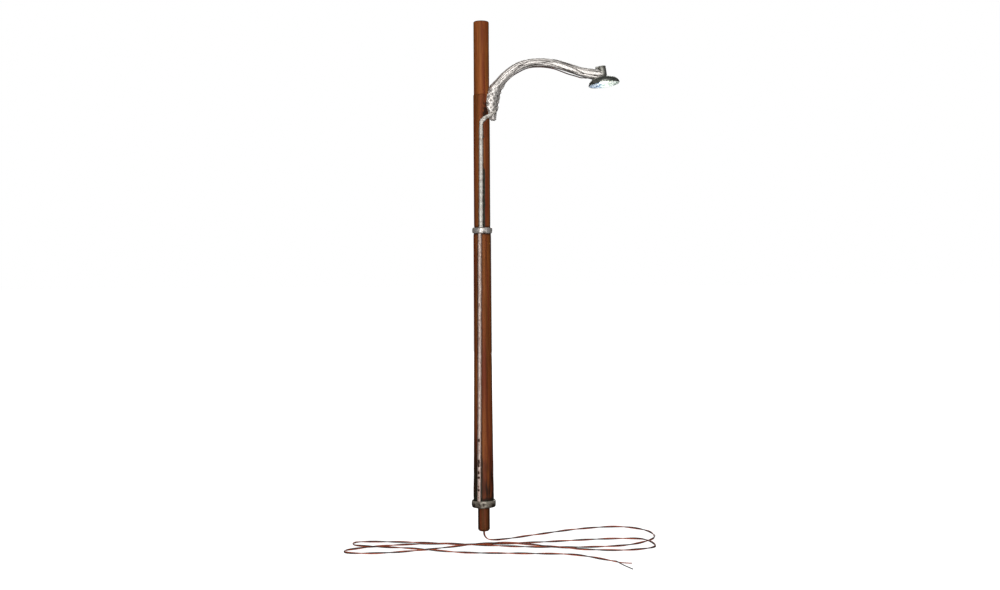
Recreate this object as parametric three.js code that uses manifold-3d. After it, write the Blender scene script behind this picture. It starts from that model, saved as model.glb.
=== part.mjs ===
// A street lamp for an HO (1:87) model railway: a round telescoping pole with a cast gooseneck arm,
// a dish shade with a surface-mount LED, a conduit down the pole's front, and a peg that plugs into
// a hole in the layout. A twisted pair of enamelled wires leaves the peg and lies in loose loops.
//
// Millimetres, +Z up. The origin is on the pole's axis at the layout's surface, where the pole's
// shoulder rests. +X points along the arm to the lamp, and -Y is the side that the conduit is on.

import * as THREE from 'three';
import { mergeVertices } from 'three/addons/utils/BufferGeometryUtils.js';
import Module from 'manifold-3d';

const wasm = await Module();
wasm.setup();

const GAP = 0.02;
const SLIVER = 0.004;
const ROUND_SIDES = 28;

// Pole: three telescoping sections, each plugged into the one below it.
const POLE_HEIGHT = 97;
const LOWER_TOP = 54.6;
const MIDDLE_TOP = 82.3;
const LOWER_RADIUS = 1.76;
const FLARE_EXTRA = 0.4;
const FLARE_LENGTH = 16;
const MIDDLE_RADIUS = 1.65;
const TOP_RADIUS = 1.55;
const EDGE_CHAMFER = 0.15;
const BORE_RADIUS = 0.8;
const SPIGOT_RADIUS = 1.18;
const SPIGOT_DEPTH = 4;
const TOP_SPIGOT_RADIUS = 1.08;
const TOP_SPIGOT_DEPTH = 2;

// Peg and the bush that the wires leave through.
const PEG_RADIUS = 1.23;
const PEG_LENGTH = 4.8;
const PEG_CHAMFER = 0.35;
const SHANK_RADIUS = 1.2;
const SHANK_LENGTH = 4;
const BUSH_RADIUS = 0.45;
const BUSH_LENGTH = 1.2;

// Bands around the pole.
const MIDDLE_BAND = { radius: 2.03, bottom: LOWER_TOP, height: 1.2, round: 0.3 };
const BASE_BAND = { radius: 2.48, bottom: 0, height: 1.4, round: 0.26 };

// Conduit beads on the pole's front. The angle is measured from -Y round towards -X.
const LOWER_CONDUIT = { radius: 0.36, bottomAngle: 25, topAngle: 15 };
const UPPER_CONDUIT = { radius: 0.4, offset: -0.24, elbowOffset: -0.1, elbowHeight: 75.4 };
const ELBOW_RIDGE_RADIUS = 0.3;
const CONDUIT_SEAT = 0.05;

// Gooseneck arm, one casting from the foot's lower end to the fork that holds the lamp socket.
// Each station is the centre of the casting's section, with its half depth in the plane of the
// arm and its half width across it.
const ARM_STATIONS = [
  { x: 2.3, z: 77.15, depth: 0.35, width: 0.35 },
  { x: 2.3, z: 77.35, depth: 0.6, width: 0.58 },
  { x: 2.26, z: 77.95, depth: 0.74, width: 0.8 },
  { x: 1.95, z: 79, depth: 1.14, width: 1.28 },
  { x: 1.85, z: 80.3, depth: 1.36, width: 1.53 },
  { x: 2, z: 81.7, depth: 1.44, width: 1.52 },
  { x: 2.54, z: 83.23, depth: 1.3, width: 1.3 },
  { x: 3.54, z: 84.63, depth: 0.98, width: 1.06 },
  { x: 5.05, z: 86.3, depth: 0.9, width: 0.95 },
  { x: 7.17, z: 87.81, depth: 0.87, width: 0.9 },
  { x: 9.3, z: 88.58, depth: 0.8, width: 0.88 },
  { x: 12, z: 88.78, depth: 0.83, width: 0.88 },
  { x: 14.8, z: 88.46, depth: 0.86, width: 0.88 },
  { x: 17.9, z: 87.5, depth: 0.88, width: 0.9 },
  { x: 20.3, z: 86.73, depth: 0.94, width: 0.92 },
  { x: 22.4, z: 86.3, depth: 1.08, width: 0.96 },
  { x: 23.6, z: 86.15, depth: 1.02, width: 1.04 },
  { x: 24.2, z: 86.2, depth: 0.5, width: 1 },
];
const ARM_SPIGOT = { radius: 0.4, height: 79.6, tip: 0.9, root: 2.4 };

// Lamp head, in its own tilted frame: the origin is the centre of the shade's rim, +Z up the stem.
const HEAD_CENTRE = new THREE.Vector3(24.54, 0, 84.3);
const HEAD_LEAN = 7.7;
const HEAD_NOD = 4;
const SHADE_RADIUS = 3.12;
const SHADE_HEIGHT = 1.7;
const SHADE_WALL = 0.2;
const CROWN_HOLE = 0.5;
const SOCKET_RADIUS = 0.83;
const SOCKET_TOP = 3.32;
const SOCKET_BORE = 0.45;
const CAP_HEIGHT = 0.33;
const LUG = { reach: 1.25, width: 0.9 };
const BOARD = { radius: 1.15, bottom: 1.12, thickness: 0.18 };
const LED = { length: 1.6, width: 0.8, height: 0.5, window: 0.6, windowDepth: 0.05 };
const LENS_RADIUS = 0.95;
const LENS_HEIGHT = 0.45;
const SOLDER_RADIUS = 0.11;

// Enamelled wire: two strands run inside the lamp, and twist into one pair outside.
const STRAND_DIAMETER = 0.2;
const STRAND_OFFSET = 0.13;
const CHANNEL_RADIUS = 0.3;
const STRAND_DROP_TOP = 76;
const PAIR_DIAMETER = 2 * STRAND_DIAMETER;
const LAID_HEIGHT = -6.7;
const CROSSING_LIFT = 0.48;

// The loose pair's route: x, y, and how many thicknesses of wire it lies on. It leaves the peg,
// drops to the surface, and lies in three flat loops across the front of the pole.
const LEAD_START = [
  [0, 0, -PEG_LENGTH - 0.03],
  [0.12, 0.05, -5.75],
  [0.75, 0.25, -6.5],
];
const LEAD_LAID = [
  [2.2, 0.3, 0],
  [10.4, 5, 0],
  [19.5, 10.5, 0],
  [28.3, 12.6, 0],
  [33.3, 8.8, 0],
  [34.2, 1.6, 0],
  [29, -4.7, 0],
  [21.5, -6.7, 0],
  [10, -6.5, 0],
  [-1.5, -4.4, 0],
  [-10.6, -3.1, 0],
  [-19.5, -4.7, 0],
  [-24.4, -6.9, 0],
  [-26.6, -8.6, 0],
  [-26.5, -10.3, 0],
  [-24.2, -11.2, 0],
  [-19, -11, 0],
  [-12.6, -9, 0],
  [1.5, -4.9, 1],
  [8, -2.6, 0],
  [27.3, -0.5, 0.6],
  [32, -2.6, 1],
  [33.5, -6.3, 0],
  [28.6, -9.5, 0],
  [20, -9, 0],
  [6.5, -5.7, 1],
  [-1, -3.9, 0],
  [-9, -2.6, 0],
  [-17.5, -1.2, 0],
  [-25.3, -1.2, 0],
  [-25.2, -5.3, 0.6],
  [-20.6, -7.7, 1],
  [-13.8, -9.4, 1],
  [-4, -11, 0],
  [8.1, -12.2, 0],
  [17.3, -13.5, 0],
  [24.7, -19.3, 0],
];
const COPPER_TAIL = [[24.9, -19.45], [26.1, -20.05], [27.5, -20.4]];
const DARK_TAIL = [[24.8, -19.75], [25.7, -21.4], [27.2, -25]];

const palette = {
  wood: { color: 0x84482a, roughness: 0.55, metalness: 0 },
  darkWood: { color: 0x6b3320, roughness: 0.55, metalness: 0 },
  castMetal: { color: 0xc8c3be, roughness: 0.35, metalness: 0.9 },
  darkMetal: { color: 0x6e6f6c, roughness: 0.4, metalness: 0.8 },
  board: { color: 0xe8e8e2, roughness: 0.6, metalness: 0 },
  ledBody: { color: 0xf4f2ea, roughness: 0.45, metalness: 0 },
  phosphor: { color: 0xfff4c0, roughness: 0.5, metalness: 0 },
  lens: { color: 0xeef6ff, roughness: 0.05, metalness: 0 },
  solder: { color: 0xb8bbbe, roughness: 0.3, metalness: 1 },
  copperEnamel: { color: 0x93553f, roughness: 0.3, metalness: 0.6 },
  darkEnamel: { color: 0x393536, roughness: 0.3, metalness: 0.3 },
  bush: { color: 0x3a2a22, roughness: 0.7, metalness: 0 },
};

const lamp = new THREE.Group();
const head = new THREE.Group();
head.position.copy(HEAD_CENTRE);
head.rotation.set(
  THREE.MathUtils.degToRad(-HEAD_NOD),
  THREE.MathUtils.degToRad(-HEAD_LEAN),
  0,
);
lamp.add(head);
lamp.updateMatrixWorld(true);

function addPart(group, name, geometry, finish) {
  const mesh = new THREE.Mesh(geometry, new THREE.MeshStandardMaterial(palette[finish]));
  mesh.name = name;
  group.add(mesh);
}

// Solids and their joins and cuts

function signedVolume(position, triangles) {
  const corner = [new THREE.Vector3(), new THREE.Vector3(), new THREE.Vector3()];
  let volume = 0;
  for (let i = 0; i < triangles.length; i += 3) {
    corner.forEach((point, k) => point.fromBufferAttribute(position, triangles[i + k]));
    volume += corner[0].dot(corner[1].cross(corner[2])) / 6;
  }
  return volume;
}

// The same surface with shared corners, no slivers, and its faces pointing out.
function sealed(geometry) {
  const bare = geometry.clone();
  bare.deleteAttribute('normal');
  bare.deleteAttribute('uv');
  const merged = mergeVertices(bare, 1e-4);
  const triangles = [];
  for (let i = 0; i < merged.index.count; i += 3) {
    const [a, b, c] = [0, 1, 2].map((k) => merged.index.getX(i + k));
    if (a !== b && b !== c && c !== a) {
      triangles.push(a, b, c);
    }
  }
  if (signedVolume(merged.attributes.position, triangles) < 0) {
    triangles.reverse();
  }
  merged.setIndex(triangles);
  return merged;
}

function toSolid(geometry) {
  const closed = sealed(geometry);
  return new wasm.Manifold(new wasm.Mesh({
    numProp: 3,
    vertProperties: new Float32Array(closed.attributes.position.array),
    triVerts: new Uint32Array(closed.index.array),
  }));
}

function toGeometry(solid) {
  const mesh = solid.getMesh();
  const geometry = new THREE.BufferGeometry();
  geometry.setAttribute('position', new THREE.BufferAttribute(mesh.vertProperties, 3));
  geometry.setIndex(new THREE.BufferAttribute(mesh.triVerts, 1));
  return geometry;
}

function cut(geometry, ...tools) {
  return toGeometry(tools.reduce((left, tool) => left.subtract(toSolid(tool)), toSolid(geometry)));
}

function join(geometry, ...others) {
  return toGeometry(others.reduce((sum, other) => sum.add(toSolid(other)), toSolid(geometry)));
}

// Shapes

// A body turned about Z, from [radius, height] corners. The outline closes on itself.
function turned(outline, sides = ROUND_SIDES) {
  const corners = [...outline, outline[0]].map(([radius, height]) => (
    new THREE.Vector2(radius, height)
  ));
  return sealed(new THREE.LatheGeometry(corners, sides).rotateX(Math.PI / 2));
}

function rod(radius, bottom, top, sides = ROUND_SIDES) {
  return turned([[0, bottom], [radius, bottom], [radius, top], [0, top]], sides);
}

function vectors(points) {
  return points.map(([x, y, z]) => new THREE.Vector3(x, y, z));
}

// A round tube of the given radius along a curve, closed at both ends.
function tubeAlong(curve, radius, steps, sides) {
  const section = new THREE.Shape();
  for (let side = 0; side < sides; side += 1) {
    const angle = (side / sides) * 2 * Math.PI;
    const move = side === 0 ? 'moveTo' : 'lineTo';
    section[move](radius * Math.cos(angle), radius * Math.sin(angle));
  }
  return new THREE.ExtrudeGeometry(section, { extrudePath: curve, steps, bevelEnabled: false });
}

function quarterArc(centreRadius, centreHeight, size, from, count = 4) {
  return Array.from({ length: count + 1 }, (_, i) => {
    const angle = from + (i / count) * (Math.PI / 2);
    return [centreRadius + size * Math.cos(angle), centreHeight + size * Math.sin(angle)];
  });
}

// Pole

function lowerRadiusAt(height) {
  return LOWER_RADIUS + FLARE_EXTRA * Math.exp(-height / FLARE_LENGTH);
}

function lowerOutline(clearance = 0, rings = 9) {
  return Array.from({ length: rings + 1 }, (_, i) => {
    const height = LOWER_TOP * (i / rings) ** 1.5;
    return [lowerRadiusAt(height) + clearance, height];
  });
}

function lowerSection() {
  return turned([
    ...lowerOutline(),
    [SPIGOT_RADIUS + GAP, LOWER_TOP],
    [SPIGOT_RADIUS + GAP, LOWER_TOP - SPIGOT_DEPTH],
    [BORE_RADIUS, LOWER_TOP - SPIGOT_DEPTH],
    [BORE_RADIUS, SHANK_LENGTH + GAP],
    [SHANK_RADIUS + GAP, SHANK_LENGTH + GAP],
    [SHANK_RADIUS + GAP, 0],
  ]);
}

function middleSection() {
  const tube = turned([
    [SPIGOT_RADIUS, LOWER_TOP - SPIGOT_DEPTH + GAP],
    [SPIGOT_RADIUS, LOWER_TOP + GAP],
    [MIDDLE_RADIUS, LOWER_TOP + GAP],
    [MIDDLE_RADIUS, MIDDLE_TOP],
    [TOP_SPIGOT_RADIUS + GAP, MIDDLE_TOP],
    [TOP_SPIGOT_RADIUS + GAP, MIDDLE_TOP - TOP_SPIGOT_DEPTH],
    [BORE_RADIUS, MIDDLE_TOP - TOP_SPIGOT_DEPTH],
    [BORE_RADIUS, LOWER_TOP - SPIGOT_DEPTH + GAP],
  ]);
  return cut(tube, armSpigot(GAP), wireChannel());
}

function topSection() {
  const edge = TOP_RADIUS - EDGE_CHAMFER;
  return turned([
    [0, MIDDLE_TOP - TOP_SPIGOT_DEPTH + GAP],
    [TOP_SPIGOT_RADIUS, MIDDLE_TOP - TOP_SPIGOT_DEPTH + GAP],
    [TOP_SPIGOT_RADIUS, MIDDLE_TOP + GAP],
    [TOP_RADIUS, MIDDLE_TOP + GAP],
    [TOP_RADIUS, POLE_HEIGHT - EDGE_CHAMFER],
    [edge, POLE_HEIGHT],
    [0, POLE_HEIGHT],
  ]);
}

function mountingPeg() {
  return turned([
    [BUSH_RADIUS + GAP, -PEG_LENGTH],
    [PEG_RADIUS - PEG_CHAMFER, -PEG_LENGTH],
    [PEG_RADIUS, -PEG_LENGTH + PEG_CHAMFER],
    [PEG_RADIUS, -GAP],
    [SHANK_RADIUS, -GAP],
    [SHANK_RADIUS, SHANK_LENGTH],
    [BUSH_RADIUS + GAP, SHANK_LENGTH],
  ]);
}

function pegBush() {
  return turned([
    [CHANNEL_RADIUS, -PEG_LENGTH],
    [BUSH_RADIUS, -PEG_LENGTH],
    [BUSH_RADIUS, BUSH_LENGTH - PEG_LENGTH],
    [CHANNEL_RADIUS, BUSH_LENGTH - PEG_LENGTH],
  ], 16);
}

// A ring with a rounded outer face, around a pole of the given radius.
function band({ radius, bottom, height, round }, poleRadius) {
  const low = bottom + GAP;
  const high = bottom + height;
  return turned([
    [poleRadius + GAP, low],
    ...quarterArc(radius - round, low + round, round, -Math.PI / 2),
    ...quarterArc(radius - round, high - round, round, 0),
    [poleRadius + GAP, high],
  ]);
}

// Conduit

function lowerConduit() {
  const { radius, bottomAngle, topAngle } = LOWER_CONDUIT;
  const bottom = BASE_BAND.height + GAP;
  const top = LOWER_TOP - GAP;
  const route = Array.from({ length: 8 }, (_, i) => {
    const share = i / 7;
    const height = THREE.MathUtils.lerp(bottom, top, share);
    const angle = THREE.MathUtils.degToRad(THREE.MathUtils.lerp(bottomAngle, topAngle, share));
    const reach = lowerRadiusAt(height) + CONDUIT_SEAT;
    return [-reach * Math.sin(angle), -reach * Math.cos(angle), height];
  });
  const bead = tubeAlong(new THREE.CatmullRomCurve3(vectors(route)), radius, 14, 10);
  const pole = turned([
    [0, -1],
    ...lowerOutline(GAP),
    [LOWER_RADIUS + GAP, LOWER_TOP + 1],
    [0, LOWER_TOP + 1],
  ]);
  return cut(bead, pole, trim(top, LOWER_TOP + 2), trim(-2, bottom));
}

// A disc wider than anything on the pole, to cut a bead off square.
function trim(bottom, top) {
  return rod(4, bottom, top, 8);
}

// The straight bead, its elbow into the arm's foot, and a second ridge over the elbow.
function upperConduit() {
  const { radius, offset, elbowOffset, elbowHeight } = UPPER_CONDUIT;
  const reach = MIDDLE_RADIUS + CONDUIT_SEAT;
  const onPole = (x, z) => [x, -Math.sqrt(reach ** 2 - x ** 2), z];
  const bottom = MIDDLE_BAND.bottom + MIDDLE_BAND.height + GAP;
  const route = new THREE.CurvePath();
  const elbow = onPole(elbowOffset, elbowHeight);
  route.add(new THREE.LineCurve3(...vectors([onPole(offset, bottom - 0.5), elbow])));
  route.add(new THREE.CatmullRomCurve3(vectors([
    elbow,
    onPole(-0.06, elbowHeight + 0.75),
    onPole(0.1, elbowHeight + 1.35),
    onPole(0.5, elbowHeight + 1.8),
    [1.02, -1.42, elbowHeight + 2.2],
    [1.5, -1.3, elbowHeight + 2.55],
    [2.1, -1.15, elbowHeight + 3],
    [2.75, -0.85, elbowHeight + 3.6],
  ])));
  const ridge = new THREE.CatmullRomCurve3(vectors([
    onPole(-0.14, elbowHeight + 0.7),
    onPole(-0.12, elbowHeight + 1.5),
    onPole(0.25, elbowHeight + 2.02),
    onPole(0.8, elbowHeight + 2.4),
    [1.4, -1.35, elbowHeight + 2.72],
    [1.95, -1.2, elbowHeight + 2.95],
  ]));
  const bead = join(
    tubeAlong(route, radius, 48, 10),
    tubeAlong(ridge, ELBOW_RIDGE_RADIUS, 16, 10),
  );
  const pole = rod(MIDDLE_RADIUS + GAP, LOWER_TOP, MIDDLE_TOP);
  const seated = cut(bead, pole, armCasting(GAP), trim(LOWER_TOP, bottom));
  return toGeometry(toSolid(seated).simplify(SLIVER));
}

// Gooseneck arm

// The casting as a run of oval sections through its stations, grown all round by a clearance.
function armCasting(clearance = 0, rings = 44, sides = 18) {
  const centres = new THREE.CatmullRomCurve3(vectors(ARM_STATIONS.map(({ x, z }) => [x, 0, z])));
  const sizes = new THREE.CatmullRomCurve3(
    vectors(ARM_STATIONS.map(({ depth, width }) => [depth, width, 0])),
  );
  const corners = [];
  const triangles = [];
  for (let ring = 0; ring <= rings; ring += 1) {
    const share = ring / rings;
    const centre = centres.getPoint(share);
    const along = centres.getTangent(share);
    const size = sizes.getPoint(share);
    for (let side = 0; side < sides; side += 1) {
      const angle = (side / sides) * 2 * Math.PI;
      const depth = (size.x + clearance) * Math.cos(angle);
      const width = (size.y + clearance) * Math.sin(angle);
      corners.push(centre.x + along.z * depth, width, centre.z - along.x * depth);
    }
  }
  const cornerAt = (ring, side) => ring * sides + (side % sides);
  for (let side = 0; side < sides; side += 1) {
    for (let ring = 0; ring < rings; ring += 1) {
      triangles.push(cornerAt(ring, side), cornerAt(ring, side + 1), cornerAt(ring + 1, side));
      triangles.push(cornerAt(ring, side + 1), cornerAt(ring + 1, side + 1), cornerAt(ring + 1, side));
    }
  }
  for (let side = 1; side < sides - 1; side += 1) {
    triangles.push(cornerAt(0, 0), cornerAt(0, side + 1), cornerAt(0, side));
    triangles.push(cornerAt(rings, 0), cornerAt(rings, side), cornerAt(rings, side + 1));
  }
  const geometry = new THREE.BufferGeometry();
  geometry.setAttribute('position', new THREE.Float32BufferAttribute(corners, 3));
  geometry.setIndex(triangles);
  return geometry;
}

function armSpigot(clearance = 0) {
  const { radius, height, tip, root } = ARM_SPIGOT;
  return rod(radius + clearance, tip - clearance, root, 16)
    .rotateY(Math.PI / 2)
    .translate(0, 0, height);
}

function inHead(geometry) {
  return geometry.clone().applyMatrix4(head.matrixWorld);
}

function gooseneckArm() {
  const poleSpace = rod(MIDDLE_RADIUS + GAP, LOWER_TOP, POLE_HEIGHT);
  const socketSpace = rod(SOCKET_RADIUS + GAP, 0, SOCKET_TOP + 2);
  const seated = cut(armCasting(), poleSpace, inHead(socketSpace), inHead(shadeDome(GAP)));
  return cut(join(seated, armSpigot()), wireChannel());
}

// Lamp head

function domeArc(radius, height, holeRadius, count = 9) {
  const start = Math.acos(holeRadius / radius);
  return Array.from({ length: count + 1 }, (_, i) => {
    const angle = start * (1 - i / count);
    return [radius * Math.cos(angle), height * Math.sin(angle)];
  });
}

function shadeDome(clearance) {
  const outline = domeArc(SHADE_RADIUS + clearance, SHADE_HEIGHT + clearance, 0.01);
  return turned([[0, -clearance], [0, outline[0][1]], ...outline, [SHADE_RADIUS + clearance, -clearance]]);
}

function shade() {
  const outside = domeArc(SHADE_RADIUS, SHADE_HEIGHT, CROWN_HOLE);
  const inside = domeArc(SHADE_RADIUS - SHADE_WALL, SHADE_HEIGHT - SHADE_WALL, CROWN_HOLE);
  return turned([...outside, ...inside.reverse()], 32);
}

function lampSocket() {
  const tube = turned([
    [SOCKET_BORE, SHADE_HEIGHT - 0.5],
    [SOCKET_RADIUS, SHADE_HEIGHT - 0.5],
    [SOCKET_RADIUS, SOCKET_TOP],
    [SOCKET_BORE, SOCKET_TOP],
  ], 24);
  const channel = wireChannel().applyMatrix4(head.matrixWorld.clone().invert());
  return cut(tube, shadeDome(GAP), channel);
}

function socketCap() {
  const bottom = SOCKET_TOP + GAP;
  const lug = new THREE.BoxGeometry(LUG.reach, LUG.width, CAP_HEIGHT);
  lug.translate(-LUG.reach / 2, 0, bottom + CAP_HEIGHT / 2);
  return join(rod(SOCKET_RADIUS, bottom, bottom + CAP_HEIGHT, 24), lug);
}

function ledBoard() {
  return rod(BOARD.radius, BOARD.bottom, BOARD.bottom + BOARD.thickness, 24);
}

function ledPackage() {
  const { length, width, height, window, windowDepth } = LED;
  const body = new THREE.BoxGeometry(length, width, height);
  const recess = new THREE.BoxGeometry(window * 2, window, windowDepth * 2);
  recess.translate(0, 0, -height / 2);
  return cut(body, recess).translate(0, 0, BOARD.bottom - GAP - height / 2);
}

function ledWindow() {
  const plate = new THREE.BoxGeometry(LED.window * 2 - GAP, LED.window - GAP, LED.windowDepth - GAP);
  return plate.translate(0, 0, BOARD.bottom - LED.height - GAP + LED.windowDepth / 2 - GAP / 2);
}

function ledLens() {
  const face = BOARD.bottom - LED.height - 2 * GAP;
  const arc = domeArc(LENS_RADIUS, LENS_HEIGHT, 0.01, 6).map(([radius, height]) => [radius, face - height]);
  return turned([[0, face], [0, arc[0][1]], ...arc], 20);
}

function solderJoint(side) {
  const top = BOARD.bottom + BOARD.thickness;
  const dome = new THREE.SphereGeometry(SOLDER_RADIUS, 10, 4, 0, 2 * Math.PI, 0, Math.PI / 2);
  const flat = new THREE.CircleGeometry(SOLDER_RADIUS, 10).rotateX(Math.PI / 2);
  const corners = [dome, flat].flatMap((half) => [...half.toNonIndexed().attributes.position.array]);
  const closed = new THREE.BufferGeometry();
  closed.setAttribute('position', new THREE.Float32BufferAttribute(corners, 3));
  return sealed(closed).rotateX(Math.PI / 2).translate(0, side * STRAND_OFFSET, top + GAP);
}

// Wires

// The strands' route inside the lamp, moved sideways by an offset: up from the LED board, out of
// the socket through the arm's end, along the arm's underside, and down the pole's bore.
function strandRoute(offset) {
  const board = BOARD.bottom + BOARD.thickness + 0.15;
  const fromHead = [[0, board], [0, 2.15], [-0.35, 2.5], [-1.3, 2.55]].map(([x, z]) => (
    new THREE.Vector3(x, offset, z).applyMatrix4(head.matrixWorld)
  ));
  const outside = vectors([
    [21.6, offset, 86],
    [20.2, offset, 85.63],
    [18.7, offset, 86.03],
    [17.4, offset, 86.4],
    [15.8, offset, 87.02],
    [14.5, offset, 87.48],
    [12, offset, 87.85],
    [9.47, offset, 87.7],
    [7.63, offset, 86.95],
    [5.95, offset, 85.88],
    [4.73, offset, 84.65],
    [3.98, offset, 83.45],
    [3.55, offset, 82.2],
    [3.3, offset, 81.2],
    [3.18, offset, 80.2],
    [2.95, offset, 79.3],
    [2.5, offset, 78.75],
    [1.5, offset, 78.55],
    [0.5, offset, 78.2],
    [0, offset, 77.2],
    [0, offset, STRAND_DROP_TOP],
  ]);
  return new THREE.CatmullRomCurve3([...fromHead, ...outside], false, 'centripetal');
}

function wireChannel() {
  return sealed(tubeAlong(strandRoute(0), CHANNEL_RADIUS, 110, 8));
}

function feedStrand(side) {
  const offset = side * STRAND_OFFSET;
  const route = new THREE.CurvePath();
  route.add(strandRoute(offset));
  route.add(new THREE.LineCurve3(...vectors([[0, offset, STRAND_DROP_TOP], [0, offset, -PEG_LENGTH]])));
  return tubeAlong(route, STRAND_DIAMETER / 2, 130, 6);
}

function leadRoute() {
  const laid = LEAD_LAID.map(([x, y, layers]) => [x, y, LAID_HEIGHT + layers * CROSSING_LIFT]);
  return new THREE.CatmullRomCurve3(vectors([...LEAD_START, ...laid]), false, 'centripetal');
}

function leadTail(points) {
  const low = LAID_HEIGHT - STRAND_DIAMETER / 2;
  const route = new THREE.CatmullRomCurve3(vectors(points.map(([x, y]) => [x, y, low])));
  return tubeAlong(route, STRAND_DIAMETER / 2, 8, 8);
}

addPart(lamp, 'pole_lower_section', lowerSection(), 'wood');
addPart(lamp, 'pole_middle_section', middleSection(), 'wood');
addPart(lamp, 'pole_top_section', topSection(), 'wood');
addPart(lamp, 'mounting_peg', mountingPeg(), 'darkWood');
addPart(lamp, 'peg_bush', pegBush(), 'bush');
addPart(lamp, 'middle_band', band(MIDDLE_BAND, MIDDLE_RADIUS), 'castMetal');
addPart(lamp, 'base_band', band(BASE_BAND, lowerRadiusAt(0)), 'castMetal');
addPart(lamp, 'conduit_lower', lowerConduit(), 'castMetal');
addPart(lamp, 'conduit_upper', upperConduit(), 'castMetal');
addPart(lamp, 'gooseneck_arm', gooseneckArm(), 'castMetal');
addPart(head, 'lamp_socket', lampSocket(), 'castMetal');
addPart(head, 'socket_cap', socketCap(), 'castMetal');
addPart(head, 'shade', shade(), 'darkMetal');
addPart(head, 'led_board', ledBoard(), 'board');
addPart(head, 'led_package', ledPackage(), 'ledBody');
addPart(head, 'led_window', ledWindow(), 'phosphor');
addPart(head, 'led_lens', ledLens(), 'lens');
addPart(head, 'solder_joint_copper', solderJoint(1), 'solder');
addPart(head, 'solder_joint_dark', solderJoint(-1), 'solder');
addPart(lamp, 'feed_strand_copper', feedStrand(1), 'copperEnamel');
addPart(lamp, 'feed_strand_dark', feedStrand(-1), 'darkEnamel');
addPart(lamp, 'lead_pair', tubeAlong(leadRoute(), PAIR_DIAMETER / 2, 80, 8), 'copperEnamel');
addPart(lamp, 'lead_tail_copper', leadTail(COPPER_TAIL), 'copperEnamel');
addPart(lamp, 'lead_tail_dark', leadTail(DARK_TAIL), 'darkEnamel');

export default lamp;
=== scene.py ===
"""The looks of a model railway street lamp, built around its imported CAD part.

Shapes are worked out in millimetres and turned into metres when a mesh is made. +Z is up, +X points
along the arm to the lamp, and -Y is the side with the conduit, which faces the camera.
"""

import math

import bmesh
import bpy
import numpy as np
from mathutils import Matrix, Vector, noise


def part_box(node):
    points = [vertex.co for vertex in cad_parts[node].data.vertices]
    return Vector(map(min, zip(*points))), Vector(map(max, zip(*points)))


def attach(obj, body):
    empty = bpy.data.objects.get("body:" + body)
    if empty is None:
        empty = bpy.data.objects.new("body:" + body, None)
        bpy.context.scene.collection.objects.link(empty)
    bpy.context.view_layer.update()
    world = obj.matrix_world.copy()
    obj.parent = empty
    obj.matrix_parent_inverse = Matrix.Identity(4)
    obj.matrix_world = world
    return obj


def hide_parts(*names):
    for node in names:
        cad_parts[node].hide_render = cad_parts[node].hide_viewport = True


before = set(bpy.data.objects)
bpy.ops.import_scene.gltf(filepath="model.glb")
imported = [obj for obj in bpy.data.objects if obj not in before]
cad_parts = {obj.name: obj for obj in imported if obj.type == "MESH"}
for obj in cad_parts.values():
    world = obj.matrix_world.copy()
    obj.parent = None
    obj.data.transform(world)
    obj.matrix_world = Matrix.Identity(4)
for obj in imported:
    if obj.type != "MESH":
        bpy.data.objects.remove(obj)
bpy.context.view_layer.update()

MM = 0.001
TAU = 2 * math.pi

# Millimetres: the gap between neighbouring pieces, and the radius at which a turned end closes.
GAP = 0.02
AT_AXIS = 0.01


def box(node):
    """A CAD node's lowest and highest corners, in millimetres."""
    low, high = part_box(node)
    return low / MM, high / MM


# Driving sizes, from the frame

LOWER_HIGH = box("pole_lower_section")[1]
MIDDLE_LOW, MIDDLE_HIGH = box("pole_middle_section")
TOP_LOW, TOP_HIGH = box("pole_top_section")
PEG_LOW, PEG_HIGH = box("mounting_peg")
LOWER_BEAD_LOW, LOWER_BEAD_HIGH = (corner.z for corner in box("conduit_lower"))
UPPER_BEAD_LOW = box("conduit_upper")[0].z

LOWER_TOP = LOWER_HIGH.z
MIDDLE_TOP = MIDDLE_HIGH.z
POLE_TOP = TOP_HIGH.z
FOOT_RADIUS = LOWER_HIGH.x
FLARE = 0.4
FLARE_LENGTH = 16
MIDDLE_RADIUS = MIDDLE_HIGH.x
TOP_RADIUS = TOP_HIGH.x
BORE_RADIUS = 0.8
PEG_RADIUS = PEG_HIGH.x
PEG_BOTTOM = PEG_LOW.z
SHANK_RADIUS = 1.2
SPIGOT_RADIUS = 1.18
SPIGOT_BOTTOM = MIDDLE_LOW.z
SPIGOT_HOLE = SPIGOT_RADIUS + GAP
TOP_SPIGOT_RADIUS = 1.08
BUSH_RADIUS = 0.45
BUSH_HOLE = BUSH_RADIUS + GAP
BEAD_SEAT = 0.05
ELBOW = 75.4

HEAD = Matrix.Translation((24.54, 0, 84.3)) @ Matrix.Rotation(math.radians(-4), 4, "X")
HEAD = HEAD @ Matrix.Rotation(math.radians(-7.7), 4, "Y")

STRAND_RADIUS = 0.1
STRAND_OFFSET = 0.13
CHANNEL_RADIUS = 0.3
LEAD_LENGTH = 297.6
TWIST_PITCH = 10.5
LAID_HEIGHT = -6.7
CROSSING_LIFT = 0.48
FLOOR = LAID_HEIGHT - 2 * STRAND_RADIUS

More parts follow.
